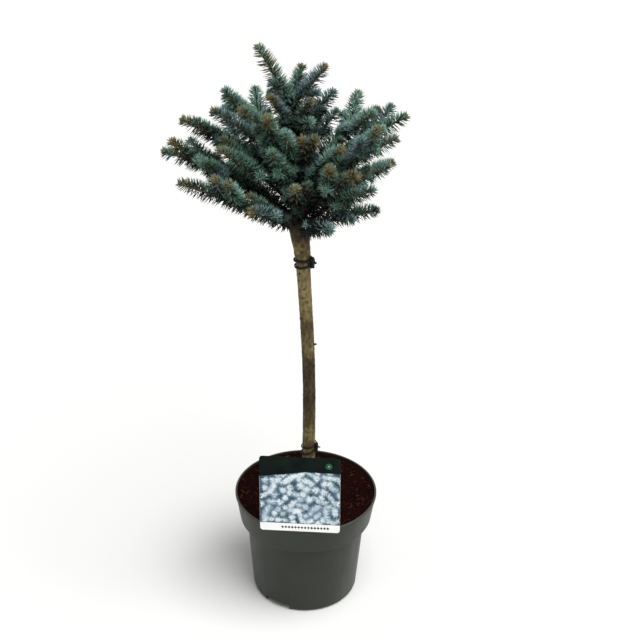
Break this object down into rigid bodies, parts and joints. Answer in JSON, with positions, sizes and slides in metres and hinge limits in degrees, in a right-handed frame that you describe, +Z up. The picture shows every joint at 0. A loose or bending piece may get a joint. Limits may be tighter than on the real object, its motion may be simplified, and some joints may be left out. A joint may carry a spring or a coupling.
{
  "type": "potted blue spruce",
  "caption": "Grafted dwarf blue spruce on a clear straight stem, with an open crown of needle sprays, in a round nursery pot with a plain care card.",
  "frame": {"origin": "middle of the pot's flat underside, on the ground", "axes": "+Z up along the stem, -Y towards the side with the care card, +X to the right seen from there"},
  "size_m": [0.3404, 0.2677, 0.8802],
  "materials": {
    "pot_plastic": "satin moulded, dark grey green",
    "potting_soil": "matte, dark brown and crumbly",
    "trunk_bark": "matte, streaked bark",
    "bough_bark": "matte bark",
    "spruce_needles": "waxy blue green needles",
    "tie_rubber": "matte black",
    "label_card": "printed, slightly glossy"
  },
  "bodies": {
    "root": {"pot": "pot_plastic", "soil": "potting_soil", "trunk": "trunk_bark", "tie_lower": "tie_rubber", "tie_upper": "tie_rubber", "label": "label_card", "bough_back_left": "bough_bark", "bough_back_left_low": "bough_bark", "bough_back_low": "bough_bark", "bough_back_right": "bough_bark", "bough_back_right_low": "bough_bark", "bough_front_left_high": "bough_bark", "bough_front_right": "bough_bark", "bough_front_right_middle": "bough_bark", "bough_left_back_high": "bough_bark", "bough_left_front": "bough_bark", "bough_left_front_low": "bough_bark", "bough_left_high": "bough_bark", "bough_left_long": "bough_bark", "bough_left_low": "bough_bark", "bough_left_upper": "bough_bark", "bough_right_back_low": "bough_bark", "bough_right_front_low": "bough_bark", "bough_right_high": "bough_bark", "bough_right_long": "bough_bark", "bough_right_low": "bough_bark", "bough_right_middle": "bough_bark", "foliage_back_high": "spruce_needles", "foliage_back_left": "spruce_needles", "foliage_back_left_low": "spruce_needles", "foliage_back_low": "spruce_needles", "foliage_back_right": "spruce_needles", "foliage_back_right_low": "spruce_needles", "foliage_crest": "spruce_needles", "foliage_front_high": "spruce_needles", "foliage_front_left": "spruce_needles", "foliage_front_left_high": "spruce_needles", "foliage_front_low": "spruce_needles", "foliage_front_right": "spruce_needles", "foliage_front_right_high": "spruce_needles", "foliage_front_right_low": "spruce_needles", "foliage_front_right_middle": "spruce_needles", "foliage_left_back_high": "spruce_needles", "foliage_left_front": "spruce_needles", "foliage_left_front_low": "spruce_needles", "foliage_left_high": "spruce_needles", "foliage_left_long": "spruce_needles", "foliage_left_low": "spruce_needles", "foliage_left_upper": "spruce_needles", "foliage_right_back_low": "spruce_needles", "foliage_right_front_low": "spruce_needles", "foliage_right_high": "spruce_needles", "foliage_right_long": "spruce_needles", "foliage_right_low": "spruce_needles", "foliage_right_middle": "spruce_needles", "foliage_top_back_right": "spruce_needles", "foliage_top_front_left": "spruce_needles", "foliage_top_front_right": "spruce_needles"}
  },
  "joints": []
}
